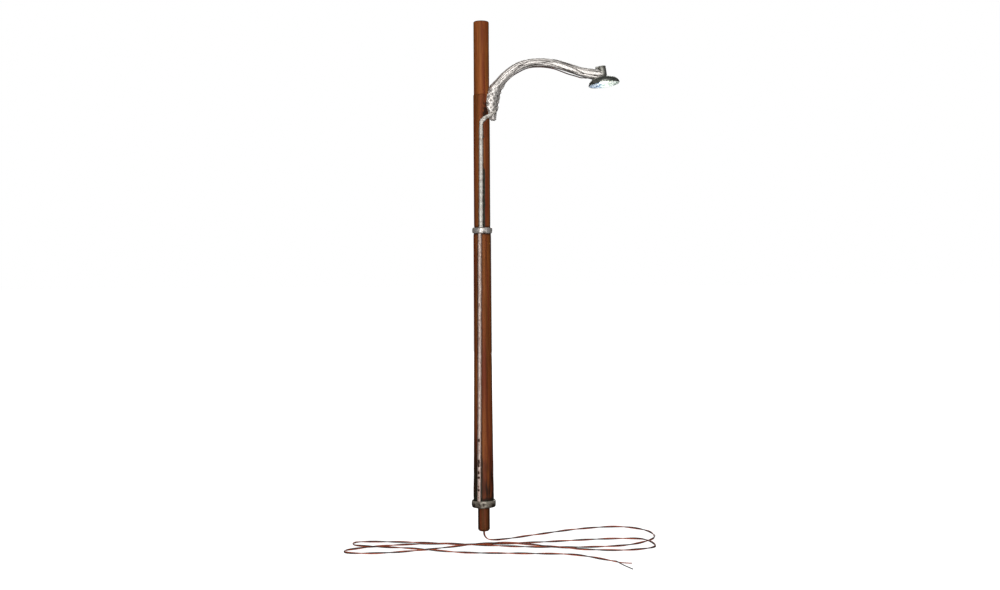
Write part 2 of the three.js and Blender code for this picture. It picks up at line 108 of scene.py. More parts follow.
# The lead's route: its drop from the peg, then x, y and how many thicknesses of wire it lies on.
LEAD_START = [(0, 0, PEG_BOTTOM - 0.03), (0.12, 0.05, -5.75), (0.75, 0.25, -6.5)]
LEAD_LAID = [
    (2.2, 0.3, 0), (10.4, 5, 0), (19.5, 10.5, 0), (28.3, 12.6, 0), (33.3, 8.8, 0),
    (34.2, 1.6, 0), (29, -4.7, 0), (21.5, -6.7, 0), (10, -6.5, 0), (-1.5, -4.4, 0),
    (-10.6, -3.1, 0), (-19.5, -4.7, 0), (-24.4, -6.9, 0), (-26.6, -8.6, 0), (-26.5, -10.3, 0),
    (-24.2, -11.2, 0), (-19, -11, 0), (-12.6, -9, 0), (1.5, -4.9, 1), (8, -2.6, 0),
    (27.3, -0.5, 0.6), (32, -2.6, 1), (33.5, -6.3, 0), (28.6, -9.5, 0), (20, -9, 0),
    (6.5, -5.7, 1), (-1, -3.9, 0), (-9, -2.6, 0), (-17.5, -1.2, 0), (-25.3, -1.2, 0),
    (-25.2, -5.3, 0.6), (-20.6, -7.7, 1), (-13.8, -9.4, 1), (-4, -11, 0), (8.1, -12.2, 0),
    (17.3, -13.5, 0), (24.7, -19.3, 0),
]
COPPER_TAIL = [(24.9, -19.45), (26.1, -20.05), (27.5, -20.4)]
DARK_TAIL = [(24.8, -19.75), (25.7, -21.4), (27.2, -25)]


# Camera

def add_camera():
    lens = bpy.data.cameras.new("camera")
    lens.sensor_width = 36
    lens.lens = 46.8
    lens.shift_y = -0.03
    lens.clip_start = 0.01
    lens.clip_end = 20
    camera = bpy.data.objects.new("camera", lens)
    camera.location = Vector((3.508, -260, 48.3)) * MM
    camera.rotation_euler = (math.pi / 2, math.radians(0.331), 0)
    bpy.context.scene.collection.objects.link(camera)
    bpy.context.scene.camera = camera


# Curves

def through(points, per_span=24):
    """A centripetal Catmull-Rom curve through the points, as one array of places."""
    points = np.array(points, float)
    ends = (2 * points[0] - points[1], 2 * points[-1] - points[-2])
    padded = np.vstack([ends[0], points, ends[1]])
    steps = np.linspace(0, 1, per_span, endpoint=False)[:, None]
    runs = []
    for a, b, c, d in zip(padded, padded[1:], padded[2:], padded[3:]):
        knot_b = np.linalg.norm(b - a) ** 0.5
        knot_c = knot_b + np.linalg.norm(c - b) ** 0.5
        knot_d = knot_c + np.linalg.norm(d - c) ** 0.5
        t = knot_b + (knot_c - knot_b) * steps
        ab = a + (b - a) * t / knot_b
        bc = b + (c - b) * (t - knot_b) / (knot_c - knot_b)
        cd = c + (d - c) * (t - knot_c) / (knot_d - knot_c)
        abc = ab + (bc - ab) * t / knot_c
        bcd = bc + (cd - bc) * (t - knot_b) / (knot_d - knot_b)
        runs.append(abc + (bcd - abc) * (t - knot_b) / (knot_c - knot_b))
    return np.vstack([*runs, points[-1:]])


def spaced(places, step):
    """The same curve with its places evenly spaced, about a step apart."""
    lengths = np.linalg.norm(np.diff(places, axis=0), axis=1)
    reached = np.concatenate([[0], np.cumsum(lengths)])
    count = max(2, round(reached[-1] / step) + 1)
    wanted = np.linspace(0, reached[-1], count)
    return np.stack([np.interp(wanted, reached, places[:, axis]) for axis in range(3)], 1)


def frames_along(places):
    """Tangent and two side directions at each place, with as little twist as possible."""
    tangents = np.gradient(places, axis=0)
    tangents /= np.linalg.norm(tangents, axis=1)[:, None]
    start = np.cross(tangents[0], (0.0, 1.0, 0.0))
    if np.linalg.norm(start) < 0.1:
        start = np.cross(tangents[0], (1.0, 0.0, 0.0))
    side = start / np.linalg.norm(start)
    sides = []
    for tangent in tangents:
        side = side - tangent * side.dot(tangent)
        side /= np.linalg.norm(side)
        sides.append(side)
    sides = np.array(sides)
    return tangents, sides, np.cross(tangents, sides)


# Surfaces: each is a run of rings, an array of rows by corners by three

def tube(places, radius, corners=12):
    """Rings of a round tube. The radius may change along it."""
    _, side, up = frames_along(places)
    angle = np.linspace(0, TAU, corners, endpoint=False)
    radius = np.broadcast_to(np.asarray(radius, float), len(places))[:, None, None]
    ring = side[:, None] * np.cos(angle)[None, :, None] + up[:, None] * np.sin(angle)[None, :, None]
    return places[:, None] + radius * ring


def turned(outline, corners=96):
    """Rings of a body turned about Z, one for each (radius, height) of its outline."""
    outline = np.array(outline, float)
    angle = np.linspace(0, TAU, corners, endpoint=False)
    x = outline[:, :1] * np.cos(angle)
    y = outline[:, :1] * np.sin(angle)
    z = np.broadcast_to(outline[:, 1:], x.shape)
    return np.stack([x, y, z], 2)


def fine(outline, step):
    """The outline with its long straight stretches cut to about a step."""
    outline = [np.array(corner, float) for corner in outline]
    result = []
    for here, there in zip(outline, outline[1:]):
        pieces = max(1, round(np.linalg.norm(there - here) / step))
        result += [here + (there - here) * i / pieces for i in range(pieces)]
    return result + [outline[-1]]


def arc(centre_radius, centre_height, size, start, end, count=6):
    """(radius, height) corners of an arc, its angles in degrees."""
    angles = np.radians(np.linspace(start, end, count + 1))
    return [(centre_radius + size * math.cos(a), centre_height + size * math.sin(a)) for a in angles]


def spread(rings, amount, inner=0.0):
    """Moves each corner away from the Z axis by amount(x, y, z), past an inner radius."""
    moved = rings.copy()
    relief = np.zeros(rings.shape[:2])
    for index in np.ndindex(relief.shape):
        x, y, z = rings[index]
        radius = math.hypot(x, y)
        if radius > inner:
            relief[index] = amount(x, y, z)
            moved[index][:2] *= 1 + relief[index] / radius
    return moved, relief


def to_head(rings):
    """Rings made in the lamp head's own frame, put in place."""
    turn = np.array(HEAD.to_3x3())
    return rings @ turn.T + np.array(HEAD.translation)


# Relief

def cloud(x, y, z, size):
    return noise.noise(Vector((x, y, z)) / size)


def dimples(x, y, z, size):
    """Hammered cells: 0 in the middle of a cell, near 1 where cells meet."""
    return min(1.0, noise.voronoi(Vector((x, y, z)) / size)[0][0] * 1.4)


def grain(x, y, z):
    """Fine lengthwise unevenness of a painted pole."""
    return 0.01 * cloud(x * 2.2, y * 2.2, z * 0.12, 1) + 0.004 * cloud(x * 7, y * 7, z * 0.6, 1) - 0.004


def hill(distance, width):
    """1 at no distance, and fades to nothing."""
    return math.exp(-((distance / width) ** 2))


def between(value, low, high, soft):
    """1 between low and high, with soft ends."""
    risen = min(1.0, max(0.0, (value - low) / soft + 0.5))
    left = min(1.0, max(0.0, (high - value) / soft + 0.5))
    return risen * left


def cast(x, y, z):
    """Uneven hammered casting."""
    return 0.03 * (dimples(x, y, z * 1.3, 0.4) - 0.5) + 0.05 * cloud(x, y, z, 0.9)


# Meshes

def ring_faces(rows, corners, first, closed):
    faces = []
    for row in range(rows if closed else rows - 1):
        here = first + row * corners
        there = first + (row + 1) % rows * corners
        for corner in range(corners):
            after = (corner + 1) % corners
            faces.append((here + corner, here + after, there + after, there + corner))
    return faces


def add_piece(name, surfaces, stands_for, sharp=40, grain_at=None):
    """Makes one piece from surfaces of (rings, material, closed, relief), and puts it on the lamp.

    Each corner keeps its relief, and its place in the material: where it is, or grain_at, in
    millimetres with Z lengthwise.
    """
    corners = []
    relief = []
    grains = []
    faces = []
    face_materials = []
    materials = []
    for rings, material, closed, heights in surfaces:
        rows, count = rings.shape[:2]
        first = len(corners)
        corners += [tuple(place) for place in rings.reshape(-1, 3)]
        relief += list(np.zeros(rows * count) if heights is None else heights.reshape(-1))
        places = rings if grain_at is None else grain_at
        grains += [tuple(place) for place in places.reshape(-1, 3)]
        made = ring_faces(rows, count, first, closed)
        if not closed:
            for row in (0, rows - 1):
                corners.append(tuple(rings[row].mean(axis=0)))
                grains.append(tuple(places[row].mean(axis=0)))
                relief.append(0.0)
                start = first + row * count
                made += [(len(corners) - 1, start + i, start + (i + 1) % count) for i in range(count)]
        faces += made
        if material not in materials:
            materials.append(material)
        face_materials += [materials.index(material)] * len(made)
    mesh = bpy.data.meshes.new(name)
    mesh.from_pydata(corners, [], faces)
    for material in materials:
        mesh.materials.append(material)
    mesh.polygons.foreach_set("material_index", face_materials)
    mesh.attributes.new("relief", "FLOAT", "POINT").data.foreach_set("value", relief)
    mesh.attributes.new("grain", "FLOAT_VECTOR", "POINT").data.foreach_set("vector", np.ravel(grains))
    mesh.transform(Matrix.Scale(MM, 4))
    outward = bmesh.new()
    outward.from_mesh(mesh)
    bmesh.ops.recalc_face_normals(outward, faces=outward.faces)
    outward.to_mesh(mesh)
    outward.free()
    mesh.shade_smooth()
    mesh.set_sharp_from_angle(angle=math.radians(sharp))
    piece = bpy.data.objects.new(name, mesh)
    bpy.context.scene.collection.objects.link(piece)
    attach(piece, "root")
    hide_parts(*stands_for)
    return piece


# Materials

def linear(red, green, blue):
    """A screen colour as the shader's linear colour."""
    def channel(value):
        share = value / 255
        return share / 12.92 if share <= 0.04045 else ((share + 0.055) / 1.055) ** 2.4
    return (channel(red), channel(green), channel(blue), 1)


def shader(name, **settings):
    """A new material, its tree and its Principled shader with the settings given."""
    material = bpy.data.materials.new(name)
    material.use_nodes = True
    tree = material.node_tree
    surface = tree.nodes["Principled BSDF"]
    for key, value in settings.items():
        surface.inputs[key.replace("_", " ")].default_value = value
    return material, tree, surface


def add_node(tree, kind, inputs=None, **settings):
    made = tree.nodes.new("ShaderNode" + kind)
    for key, value in settings.items():
        setattr(made, key, value)
    for key, value in (inputs or {}).items():
        if isinstance(value, bpy.types.NodeSocket):
            tree.links.new(value, made.inputs[key])
        else:
            made.inputs[key].default_value = value
    return made


def place(tree, stretch=(1, 1, 1)):
    """Each corner's place in the material, in millimetres, stretched."""
    source = add_node(tree, "Attribute", attribute_name="grain").outputs["Vector"]
    return add_node(tree, "Mapping", {"Vector": source, "Scale": stretch}).outputs[0]


def clouds(tree, where, size, detail=4, rough=0.55):
    """Noise of a size in millimetres."""
    return add_node(
        tree, "TexNoise", {"Vector": where, "Scale": 1 / size, "Detail": detail, "Roughness": rough}
    ).outputs["Fac"]


def ramp(tree, factor, stops):
    """Colours or greys by factor, from (position, value) stops."""
    made = add_node(tree, "ValToRGB", {"Fac": factor})
    elements = made.color_ramp.elements
    while len(elements) < len(stops):
        elements.new(0.5)
    for element, (position, value) in zip(elements, stops):
        element.position = position
        element.color = value if isinstance(value, tuple) else (value, value, value, 1)
    return made.outputs["Color"]


def blend(tree, factor, low, high):
    return add_node(tree, "MixRGB", {"Fac": factor, "Color1": low, "Color2": high}).outputs[0]


def bump(tree, surface, height, distance, strength=1.0):
    made = add_node(tree, "Bump", {"Height": height, "Distance": distance * MM, "Strength": strength})
    tree.links.new(made.outputs[0], surface.inputs["Normal"])


def relief_value(tree):
    return add_node(tree, "Attribute", attribute_name="relief").outputs["Fac"]


def brown_paint(name, light, dark):
    """Satin brown paint with red, golden and dark lengthwise streaks and tiny specks.

    Where the relief is low it is painted darker, and there the surface has also sunk a little: painted shade
    beside the beads and bands, down the pole's sides and on eased edges, with stains, a speck and darker
    patches near the foot; where it is lowest, a glossy near-black run.
    """
    material, tree, surface = shader(name, Specular_IOR_Level=0.12)
    streaks = clouds(tree, place(tree, (1, 1, 0.03)), 0.55)
    patches = clouds(tree, place(tree, (1, 1, 0.06)), 1.1)
    specks = clouds(tree, place(tree), 0.22)
    body = ramp(tree, streaks, [(0.36, dark), (0.6, light)])
    red = blend(tree, ramp(tree, patches, [(0.46, 0.0), (0.62, 0.75)]), body, linear(110, 46, 28))
    olive = blend(tree, ramp(tree, patches, [(0.34, 0.75), (0.46, 0.0)]), red, linear(108, 62, 26))
    speckled = blend(tree, ramp(tree, specks, [(0.28, 0.8), (0.36, 0.0)]), olive, linear(48, 26, 16))
    level = add_node(tree, "MapRange", {
        "Value": relief_value(tree), "From Min": -0.1, "From Max": 0.0,
    }).outputs[0]
    inky = ramp(tree, level, [(0.15, 1.0), (0.4, 0.0)])
    # Painted shade and stains: darker brown where the relief is low.
    stains_and_painted_shade = blend(tree, ramp(tree, level, [(0.5, 1.0), (0.85, 0.0)]), speckled, linear(50, 28, 18))
    inked = blend(tree, inky, stains_and_painted_shade, linear(34, 36, 26))
    tree.links.new(inked, surface.inputs["Base Color"])
    satin = ramp(tree, streaks, [(0.3, 0.62), (0.7, 0.48)])
    tree.links.new(blend(tree, inky, satin, (0.2, 0.2, 0.2, 1)), surface.inputs["Roughness"])
    bump(tree, surface, clouds(tree, place(tree, (1, 1, 0.15)), 0.25), 0.02, 0.5)
    return material


def cast_silver(name, bright, wash, reach, metallic=0.85):
    """Silvered casting with a dark wash that fills its hollows; where a caller lowers or raises the relief to
    paint shade or highlight, as on the bands, the same colours paint it. Reach is the relief's usual height.
    """
    material, tree, surface = shader(name, Metallic=metallic)
    pits = clouds(tree, place(tree, (1, 1, 0.4)), 0.28, 6, 0.7)
    height = add_node(tree, "MapRange", {
        "Value": relief_value(tree), "From Min": -reach, "From Max": reach,
    }).outputs[0]
    sum_up = add_node(tree, "Math", {0: height, 1: pits}, operation="ADD").outputs[0]
    worn = add_node(tree, "Math", {0: sum_up, 1: 0.5}, operation="MULTIPLY").outputs[0]
    middle = tuple((a + b) / 2 for a, b in zip(bright, wash))
    colour = ramp(tree, worn, [(0.34, wash), (0.48, middle), (0.64, bright)])
    tree.links.new(colour, surface.inputs["Base Color"])
    tree.links.new(ramp(tree, worn, [(0.34, 0.65), (0.64, 0.38)]), surface.inputs["Roughness"])
    bump(tree, surface, pits, 0.03, 0.6)
    return material


def conduit_paint(name, bright, worn_through):
    """Silver paint over brown, worn through where the bead is low, and darkest brown as painted shade where
    the bead meets the pole.
    """
    material, tree, surface = shader(name, Metallic=0.3, Roughness=0.42)
    pits = clouds(tree, place(tree, (1, 1, 0.5)), 0.3, 5, 0.65)
    height = add_node(tree, "MapRange", {
        "Value": relief_value(tree), "From Min": -0.08, "From Max": 0.06,
    }).outputs[0]
    worn = add_node(tree, "Math", {0: height, 1: pits}, operation="MULTIPLY").outputs[0]
    middle = tuple((a + b) / 2 for a, b in zip(bright, worn_through))
    # The darkest stop is the painted shade along the bead's edges.
    colour = ramp(tree, worn, [
        (0.04, linear(48, 26, 18)), (0.14, worn_through), (0.22, middle), (0.36, bright),
    ])
    tree.links.new(colour, surface.inputs["Base Color"])
    bump(tree, surface, pits, 0.05, 0.8)
    return material


def shade_enamel():
    """Dark grey metal of the shade's outside."""
    material, tree, surface = shader("shade_outside", Metallic=0.85)
    turning = clouds(tree, place(tree, (1, 1, 3)), 0.5, 5)
    colour = ramp(tree, turning, [(0.35, linear(84, 87, 82)), (0.65, linear(176, 179, 170))])
    tree.links.new(colour, surface.inputs["Base Color"])
    tree.links.new(ramp(tree, turning, [(0.3, 0.42), (0.7, 0.26)]), surface.inputs["Roughness"])
    bump(tree, surface, turning, 0.02, 0.5)
    return material


def shade_white(glow):
    """White reflector paint with the LED's light painted on: it glows, most in the middle, with painted
    shadow patches, and it is bluest at the pole's side.
    """
    material, tree, surface = shader("shade_inside", Roughness=0.4)
    where = place(tree)
    across = add_node(tree, "SeparateXYZ", {"Vector": where}).outputs["X"]
    side = add_node(tree, "MapRange", {
        "Value": across, "From Min": -SHADE_RADIUS, "From Max": SHADE_RADIUS,
    }).outputs[0]
    # Painted light and shade across the shade from the pole's side: lit colours, then painted shadow colours.
    lit = ramp(tree, side, [
        (0.05, linear(176, 192, 216)), (0.35, linear(226, 236, 246)), (0.5, linear(240, 252, 240)),
        (0.75, linear(250, 252, 248)), (1.0, linear(226, 232, 226)),
    ])
    shadow = ramp(tree, side, [
        (0.1, linear(44, 56, 84)), (0.4, linear(120, 144, 178)), (0.6, linear(206, 236, 208)),
        (0.85, linear(140, 152, 142)),
    ])
    painted_shadow_marks = clouds(tree, place(tree, (0.5, 1, 1)), 0.5, 5, 0.65)
    colour = blend(tree, ramp(tree, painted_shadow_marks, [(0.42, 1.0), (0.5, 0.0)]), lit, shadow)
    tree.links.new(colour, surface.inputs["Base Color"])
    tree.links.new(colour, surface.inputs["Emission Color"])
    # Painted light: the glow is strongest across the middle.
    strength = ramp(tree, side, [(0.1, 0.4 * glow), (0.5, glow), (0.9, 0.6 * glow)])
    tree.links.new(strength, surface.inputs["Emission Strength"])
    bump(tree, surface, painted_shadow_marks, 0.05, 0.6)
    return material


def white_paint(name, colour, glow=0.0):
    material, tree, surface = shader(name, Roughness=0.5, Emission_Strength=glow)
    tint = clouds(tree, place(tree), 0.8)
    pale = tuple(0.9 * channel for channel in colour[:3]) + (1,)
    tree.links.new(ramp(tree, tint, [(0.35, pale), (0.65, colour)]), surface.inputs["Base Color"])
    surface.inputs["Emission Color"].default_value = colour
    bump(tree, surface, clouds(tree, place(tree), 0.12), 0.01, 0.4)
    return material


def lit_phosphor():
    material, tree, surface = shader("lit_phosphor", Roughness=0.6, Emission_Strength=30)
    speckle = clouds(tree, place(tree), 0.1)
    colour = ramp(tree, speckle, [(0.3, linear(255, 238, 190)), (0.7, linear(255, 252, 238))])
    tree.links.new(colour, surface.inputs["Base Color"])
    tree.links.new(colour, surface.inputs["Emission Color"])
    return material


def clear_lens():
    """Clear resin that glows with the LED, its colour and glow in random patches of blue, white and green
    that are painted reflections.
    """
    material, tree, surface = shader(
        "clear_lens", Roughness=0.08, Transmission_Weight=0.8, IOR=1.5, Emission_Strength=1.2,
    )
    tint = clouds(tree, place(tree), 0.9)
    # Painted reflections: patches of blue, white and green.
    colour = ramp(tree, tint, [
        (0.35, linear(196, 224, 255)), (0.5, linear(255, 255, 255)), (0.65, linear(214, 246, 220)),
    ])
    tree.links.new(colour, surface.inputs["Base Color"])
    tree.links.new(colour, surface.inputs["Emission Color"])
    return material


def bright_solder():
    material, tree, surface = shader("bright_solder", Metallic=1.0, Roughness=0.25)
    grains = clouds(tree, place(tree), 0.06)
    colour = ramp(tree, grains, [(0.3, linear(150, 152, 156)), (0.7, linear(214, 216, 220))])
    tree.links.new(colour, surface.inputs["Base Color"])
    bump(tree, surface, grains, 0.008, 0.5)
    return material


def wire_enamel(name, light, dark, metallic):
    """Enamelled wire: a clear hard coat over drawn metal, with scuffs along it."""
    material, tree, surface = shader(
        name, Metallic=metallic, Roughness=0.55, Coat_Weight=0.08, Coat_Roughness=0.3,
    )
    scuffs = clouds(tree, place(tree), 1.4, 5)
    tree.links.new(ramp(tree, scuffs, [(0.35, dark), (0.65, light)]), surface.inputs["Base Color"])
    bump(tree, surface, clouds(tree, place(tree), 0.1), 0.006, 0.4)
    return material


def bush_resin():
    material, tree, surface = shader("bush_resin", Roughness=0.65)
    speckle = clouds(tree, place(tree), 0.15)
    colour = ramp(tree, speckle, [(0.35, linear(40, 28, 22)), (0.65, linear(66, 48, 38))])
    tree.links.new(colour, surface.inputs["Base Color"])
    bump(tree, surface, speckle, 0.01, 0.5)
    return material


# Wires

def lead_path():
    laid = [(x, y, LAID_HEIGHT + layers * CROSSING_LIFT) for x, y, layers in LEAD_LAID]
    return spaced(through(LEAD_START + laid), 0.35)


def add_tail(name, start, points, material, node):
    low = LAID_HEIGHT - STRAND_RADIUS
    route = through([start] + [(x, y, low) for x, y in points[1:]])
    places = spaced(route, 0.12)
    return add_piece(name, [(tube(places, STRAND_RADIUS, 14), material, False, None)], [node])


def add_lead(copper, dark):
    """The twisted pair with its two split ends."""
    places = lead_path()
    _, side, up = frames_along(places)
    reached = np.linspace(0, LEAD_LENGTH, len(places))[:, None]
    angle = TAU * reached / TWIST_PITCH
    swing = STRAND_RADIUS * (side * np.cos(angle) + up * np.sin(angle))
    strands = [places + swing, places - swing]
    surfaces = [
        (tube(strand, STRAND_RADIUS, 12), material, False, None)
        for strand, material in zip(strands, (copper, dark))
    ]
    pair = add_piece("lead_pair_twisted", surfaces, ["lead_pair"])
    tails = [
        add_tail("tail_copper", strands[0][-1], COPPER_TAIL, copper, "lead_tail_copper"),
        add_tail("tail_dark", strands[1][-1], DARK_TAIL, dark, "lead_tail_dark"),
    ]


def strand_route(offset):
    """Up from the LED board, out through the arm's end, along under the arm and down the pole."""
    in_head = [(0, 1.45), (0, 2.15), (-0.35, 2.5), (-1.3, 2.55)]
    outside = [
        (21.6, 86), (20.2, 85.63), (18.7, 86.03), (17.4, 86.4), (15.8, 87.02), (14.5, 87.48),
        (12, 87.85), (9.47, 87.7), (7.63, 86.95), (5.95, 85.88), (4.73, 84.65), (3.98, 83.45),
        (3.55, 82.2), (3.3, 81.2), (3.18, 80.2), (2.95, 79.3), (2.5, 78.75), (1.5, 78.55),
        (0.5, 78.2), (0, 77.2), (0, 76),
    ]
    points = [tuple(HEAD @ Vector((x, offset, z))) for x, z in in_head]
    points += [(x, offset, z) for x, z in outside]
    return np.vstack([through(points), [(0, offset, PEG_BOTTOM)]])


def add_feed_strand(name, side, material, node):
    places = spaced(strand_route(side * STRAND_OFFSET), 0.15)
    add_piece(name, [(tube(places, STRAND_RADIUS, 12), material, False, None)], [node])


# Pole

def lower_radius(height):
    return FOOT_RADIUS - FLARE + FLARE * math.exp(-height / FLARE_LENGTH)


def lower_bead_place(height):
    """Where the lower conduit's centre line is at a height. It drifts towards the front as it rises."""
    share = (height - LOWER_BEAD_LOW) / (LOWER_BEAD_HIGH - LOWER_BEAD_LOW)
    angle = math.radians(25 - 10 * share) + 0.03 * cloud(0, 0, height, 3)
    reach = lower_radius(height) + BEAD_SEAT
    return -reach * math.sin(angle), -reach * math.cos(angle)


def upper_bead_place(height):
    """Where the upper conduit's centre line is at a height, below its elbow."""
    share = (min(height, ELBOW) - UPPER_BEAD_LOW) / (ELBOW - UPPER_BEAD_LOW)
    x = -0.24 + 0.14 * share
    return x, -math.sqrt((MIDDLE_RADIUS + BEAD_SEAT) ** 2 - x ** 2)


def lower_relief_and_painted_shade(x, y, z):
    """Painted shade beside the bead and the bands and down both sides, and darker patches near the foot."""
    bead_x, bead_y = lower_bead_place(z)
    line = hill(math.hypot(x - bead_x, y - bead_y) - 0.46, 0.13)
    foot = max(0.0, 1 - z / 15) * (0.9 + cloud(x * 2.5, y * 2.5, z * 0.4, 1))
    left = hill(x + 1.5 + 0.02 * z, 0.7) * max(0.0, 1 - z / 22) if y < 0 else 0
    ends = hill(z - 1.5, 0.4) + hill(z - LOWER_TOP, 0.35)
    right = 0.5 * between(x, lower_radius(z) - 0.22, 5, 0.3)
    return grain(x, y, z) - 0.04 * min(1.0, line + left + ends + right) - 0.045 * min(1.1, 1.3 * foot)


def middle_relief_and_painted_shade(x, y, z):
    """Painted shade beside the bead and the band and down the +X side, a dark mottled patch beside the arm's
    foot, a dark speck, and a glossy dark run on the bead's +X side.
    """
    bead_x, bead_y = upper_bead_place(z)
    away = math.hypot(x - bead_x, y - bead_y)
    line = hill(away - 0.48, 0.12) * between(z, 50, 76, 2)
    wander = 0.12 * cloud(0, 0, z, 1.3)
    run = between(away, 0.4, 0.82 + wander, 0.12) * between(z, 56, 67.3, 0.8) if x > bead_x else 0
    dark_patch = hill(math.hypot(x - 0.75, (z - 79) / 3.4), 0.6) * (1 + 1.6 * cloud(x, y, z, 0.6))
    dot = hill(math.hypot(x - 0.5, z - 73.8), 0.16)
    front = dark_patch + dot if y < 0 else 0
    edges = line + 0.6 * between(x, MIDDLE_RADIUS - 0.2, 5, 0.3) + hill(z - UPPER_BEAD_LOW, 0.35)
    return grain(x, y, z) - 0.035 * min(1.0, edges) - 0.1 * run - 0.05 * min(1.0, max(0.0, front))


def peg_grain_and_painted_shade(x, y, z):
    """Painted shade down both sides of the peg and around its chamfer."""
    sides = between(abs(x), PEG_RADIUS - 0.42, 5, 0.4)
    return grain(x, y, z) - 0.04 * min(1.0, sides + hill(z - PEG_BOTTOM, 0.4))


def top_grain_and_painted_shade(x, y, z):
    """Painted shade on the eased edge at the top."""
    return grain(x, y, z) - 0.05 * between(z, POLE_TOP - 0.16, POLE_TOP + 1, 0.1)


def add_pole(paint, top_paint, peg_paint, bush):
    peg_shank = PEG_HIGH.z
    heights = np.linspace(0.05, LOWER_TOP - 0.06, 240)
    lower = [
        (FOOT_RADIUS - 0.08, 0.0), *[(lower_radius(h), h) for h in heights],
        (lower_radius(LOWER_TOP) - 0.06, LOWER_TOP), (SPIGOT_HOLE, LOWER_TOP),
        (SPIGOT_HOLE, SPIGOT_BOTTOM - GAP), (BORE_RADIUS, SPIGOT_BOTTOM - GAP),
        (BORE_RADIUS, peg_shank + GAP), (SHANK_RADIUS + GAP, peg_shank + GAP), (SHANK_RADIUS + GAP, 0.0),
    ]
    rings, relief = spread(turned(lower, 160), lower_relief_and_painted_shade, 1.5)
    add_piece("pole_lower", [(rings, paint, True, relief)], ["pole_lower_section"])

    shoulder = LOWER_TOP + GAP
    top_seat = TOP_LOW.z - GAP
    middle = fine([
        (MIDDLE_RADIUS, shoulder), (MIDDLE_RADIUS, MIDDLE_TOP - 0.05), (MIDDLE_RADIUS - 0.05, MIDDLE_TOP),
        (TOP_SPIGOT_RADIUS + GAP, MIDDLE_TOP), (TOP_SPIGOT_RADIUS + GAP, top_seat), (BORE_RADIUS, top_seat),
        (BORE_RADIUS, SPIGOT_BOTTOM), (SPIGOT_RADIUS, SPIGOT_BOTTOM), (SPIGOT_RADIUS, shoulder),
    ], 0.2)
    rings, relief = spread(turned(middle, 160), middle_relief_and_painted_shade, 1.5)
    add_piece("pole_middle", [(rings, paint, True, relief)], ["pole_middle_section"])

    seam = MIDDLE_TOP + GAP
    edge = 0.22
    top = fine([(TOP_SPIGOT_RADIUS, seam), (TOP_RADIUS - 0.04, seam), (TOP_RADIUS, seam + 0.05)], 0.3)
    top += fine([(TOP_RADIUS, seam + 0.05), (TOP_RADIUS, POLE_TOP - edge)], 0.3)[1:]
    top += arc(TOP_RADIUS - edge, POLE_TOP - edge, edge, 0, 90)[1:]
    top = [(AT_AXIS, top_seat + GAP), (TOP_SPIGOT_RADIUS, top_seat + GAP)] + top + [(AT_AXIS, POLE_TOP)]
    rings, relief = spread(turned(top, 128), top_grain_and_painted_shade, 1.3)
    add_piece("pole_top", [(rings, top_paint, False, relief)], ["pole_top_section"])

    chamfer = 0.35
    peg = fine([
        (BUSH_HOLE, PEG_BOTTOM), (PEG_RADIUS - chamfer, PEG_BOTTOM), (PEG_RADIUS, PEG_BOTTOM + chamfer),
        (PEG_RADIUS, -GAP), (SHANK_RADIUS, -GAP), (SHANK_RADIUS, peg_shank), (BUSH_HOLE, peg_shank),
        (BUSH_HOLE, PEG_BOTTOM),
    ], 0.3)[:-1]
    rings, relief = spread(turned(peg, 96), peg_grain_and_painted_shade, 1.21)
    add_piece("peg", [(rings, peg_paint, True, relief)], ["mounting_peg"])

    low, high = box("peg_bush")
    collar = [
        (CHANNEL_RADIUS, low.z), (BUSH_RADIUS - 0.02, low.z), (BUSH_RADIUS, low.z + 0.03),
        (BUSH_RADIUS, high.z), (CHANNEL_RADIUS, high.z),
    ]
    add_piece("bush", [(turned(collar, 48), bush, True, None)], ["peg_bush"])


def add_band(name, node, pole_radius, paint, worn, top_ease, lean=0.0):
    """A cast ring with a rounded outside, fuller below when top_ease is high. It may lean towards -X.

    Worn(turn) is how bright its metal is painted, and how far it stands out, from the bottom edge at -1 to
    the top at 1; the callers use it for painted highlight and shade.
    """
    low, high = box(node)
    radius = high.x - 0.05
    depth = radius - pole_radius - GAP
    middle = (low.z + high.z) / 2
    half = (high.z - low.z) / 2
    turns = np.linspace(-math.pi / 2, math.pi / 2, 25)[1:-1]
    outline = [(pole_radius + GAP, low.z)]
    for turn in turns:
        ease = top_ease if turn > 0 else 0.5
        outline.append((pole_radius + GAP + depth * math.cos(turn) ** ease, middle + half * math.sin(turn)))
    outline.append((pole_radius + GAP, high.z))

    def surface(x, y, z):
        return cast(x, y, z) + 0.03 * worn((z - middle) / half)

    rings, relief = spread(turned(fine(outline, 0.08), 160), surface, pole_radius + 0.1)
    rings[..., 2] += rings[..., 0] * math.tan(math.radians(lean))
    add_piece(name, [(rings, paint, True, relief)], [node])


# Conduit

def bead(places, radii, pole_radius, corners=28):
    """A round bead that hugs the pole, and how far each corner stands off the pole.

    Corners that fall inside the pole stay on its surface.
    """
    rings = tube(places, radii, corners)
    wanted = np.array([[pole_radius(z) for z in row] for row in rings[..., 2]])
    reach = np.hypot(rings[..., 0], rings[..., 1])
    out = np.maximum(1, (wanted + 0.01) / reach)
    rings[..., 0] *= out
    rings[..., 1] *= out
    return rings, np.maximum(0, reach - wanted)


def bead_edge_painted_shade(stand):
    """Painted shade where a bead meets the pole: low relief where it stands off less."""
    return -0.12 * np.exp(-stand / 0.06)


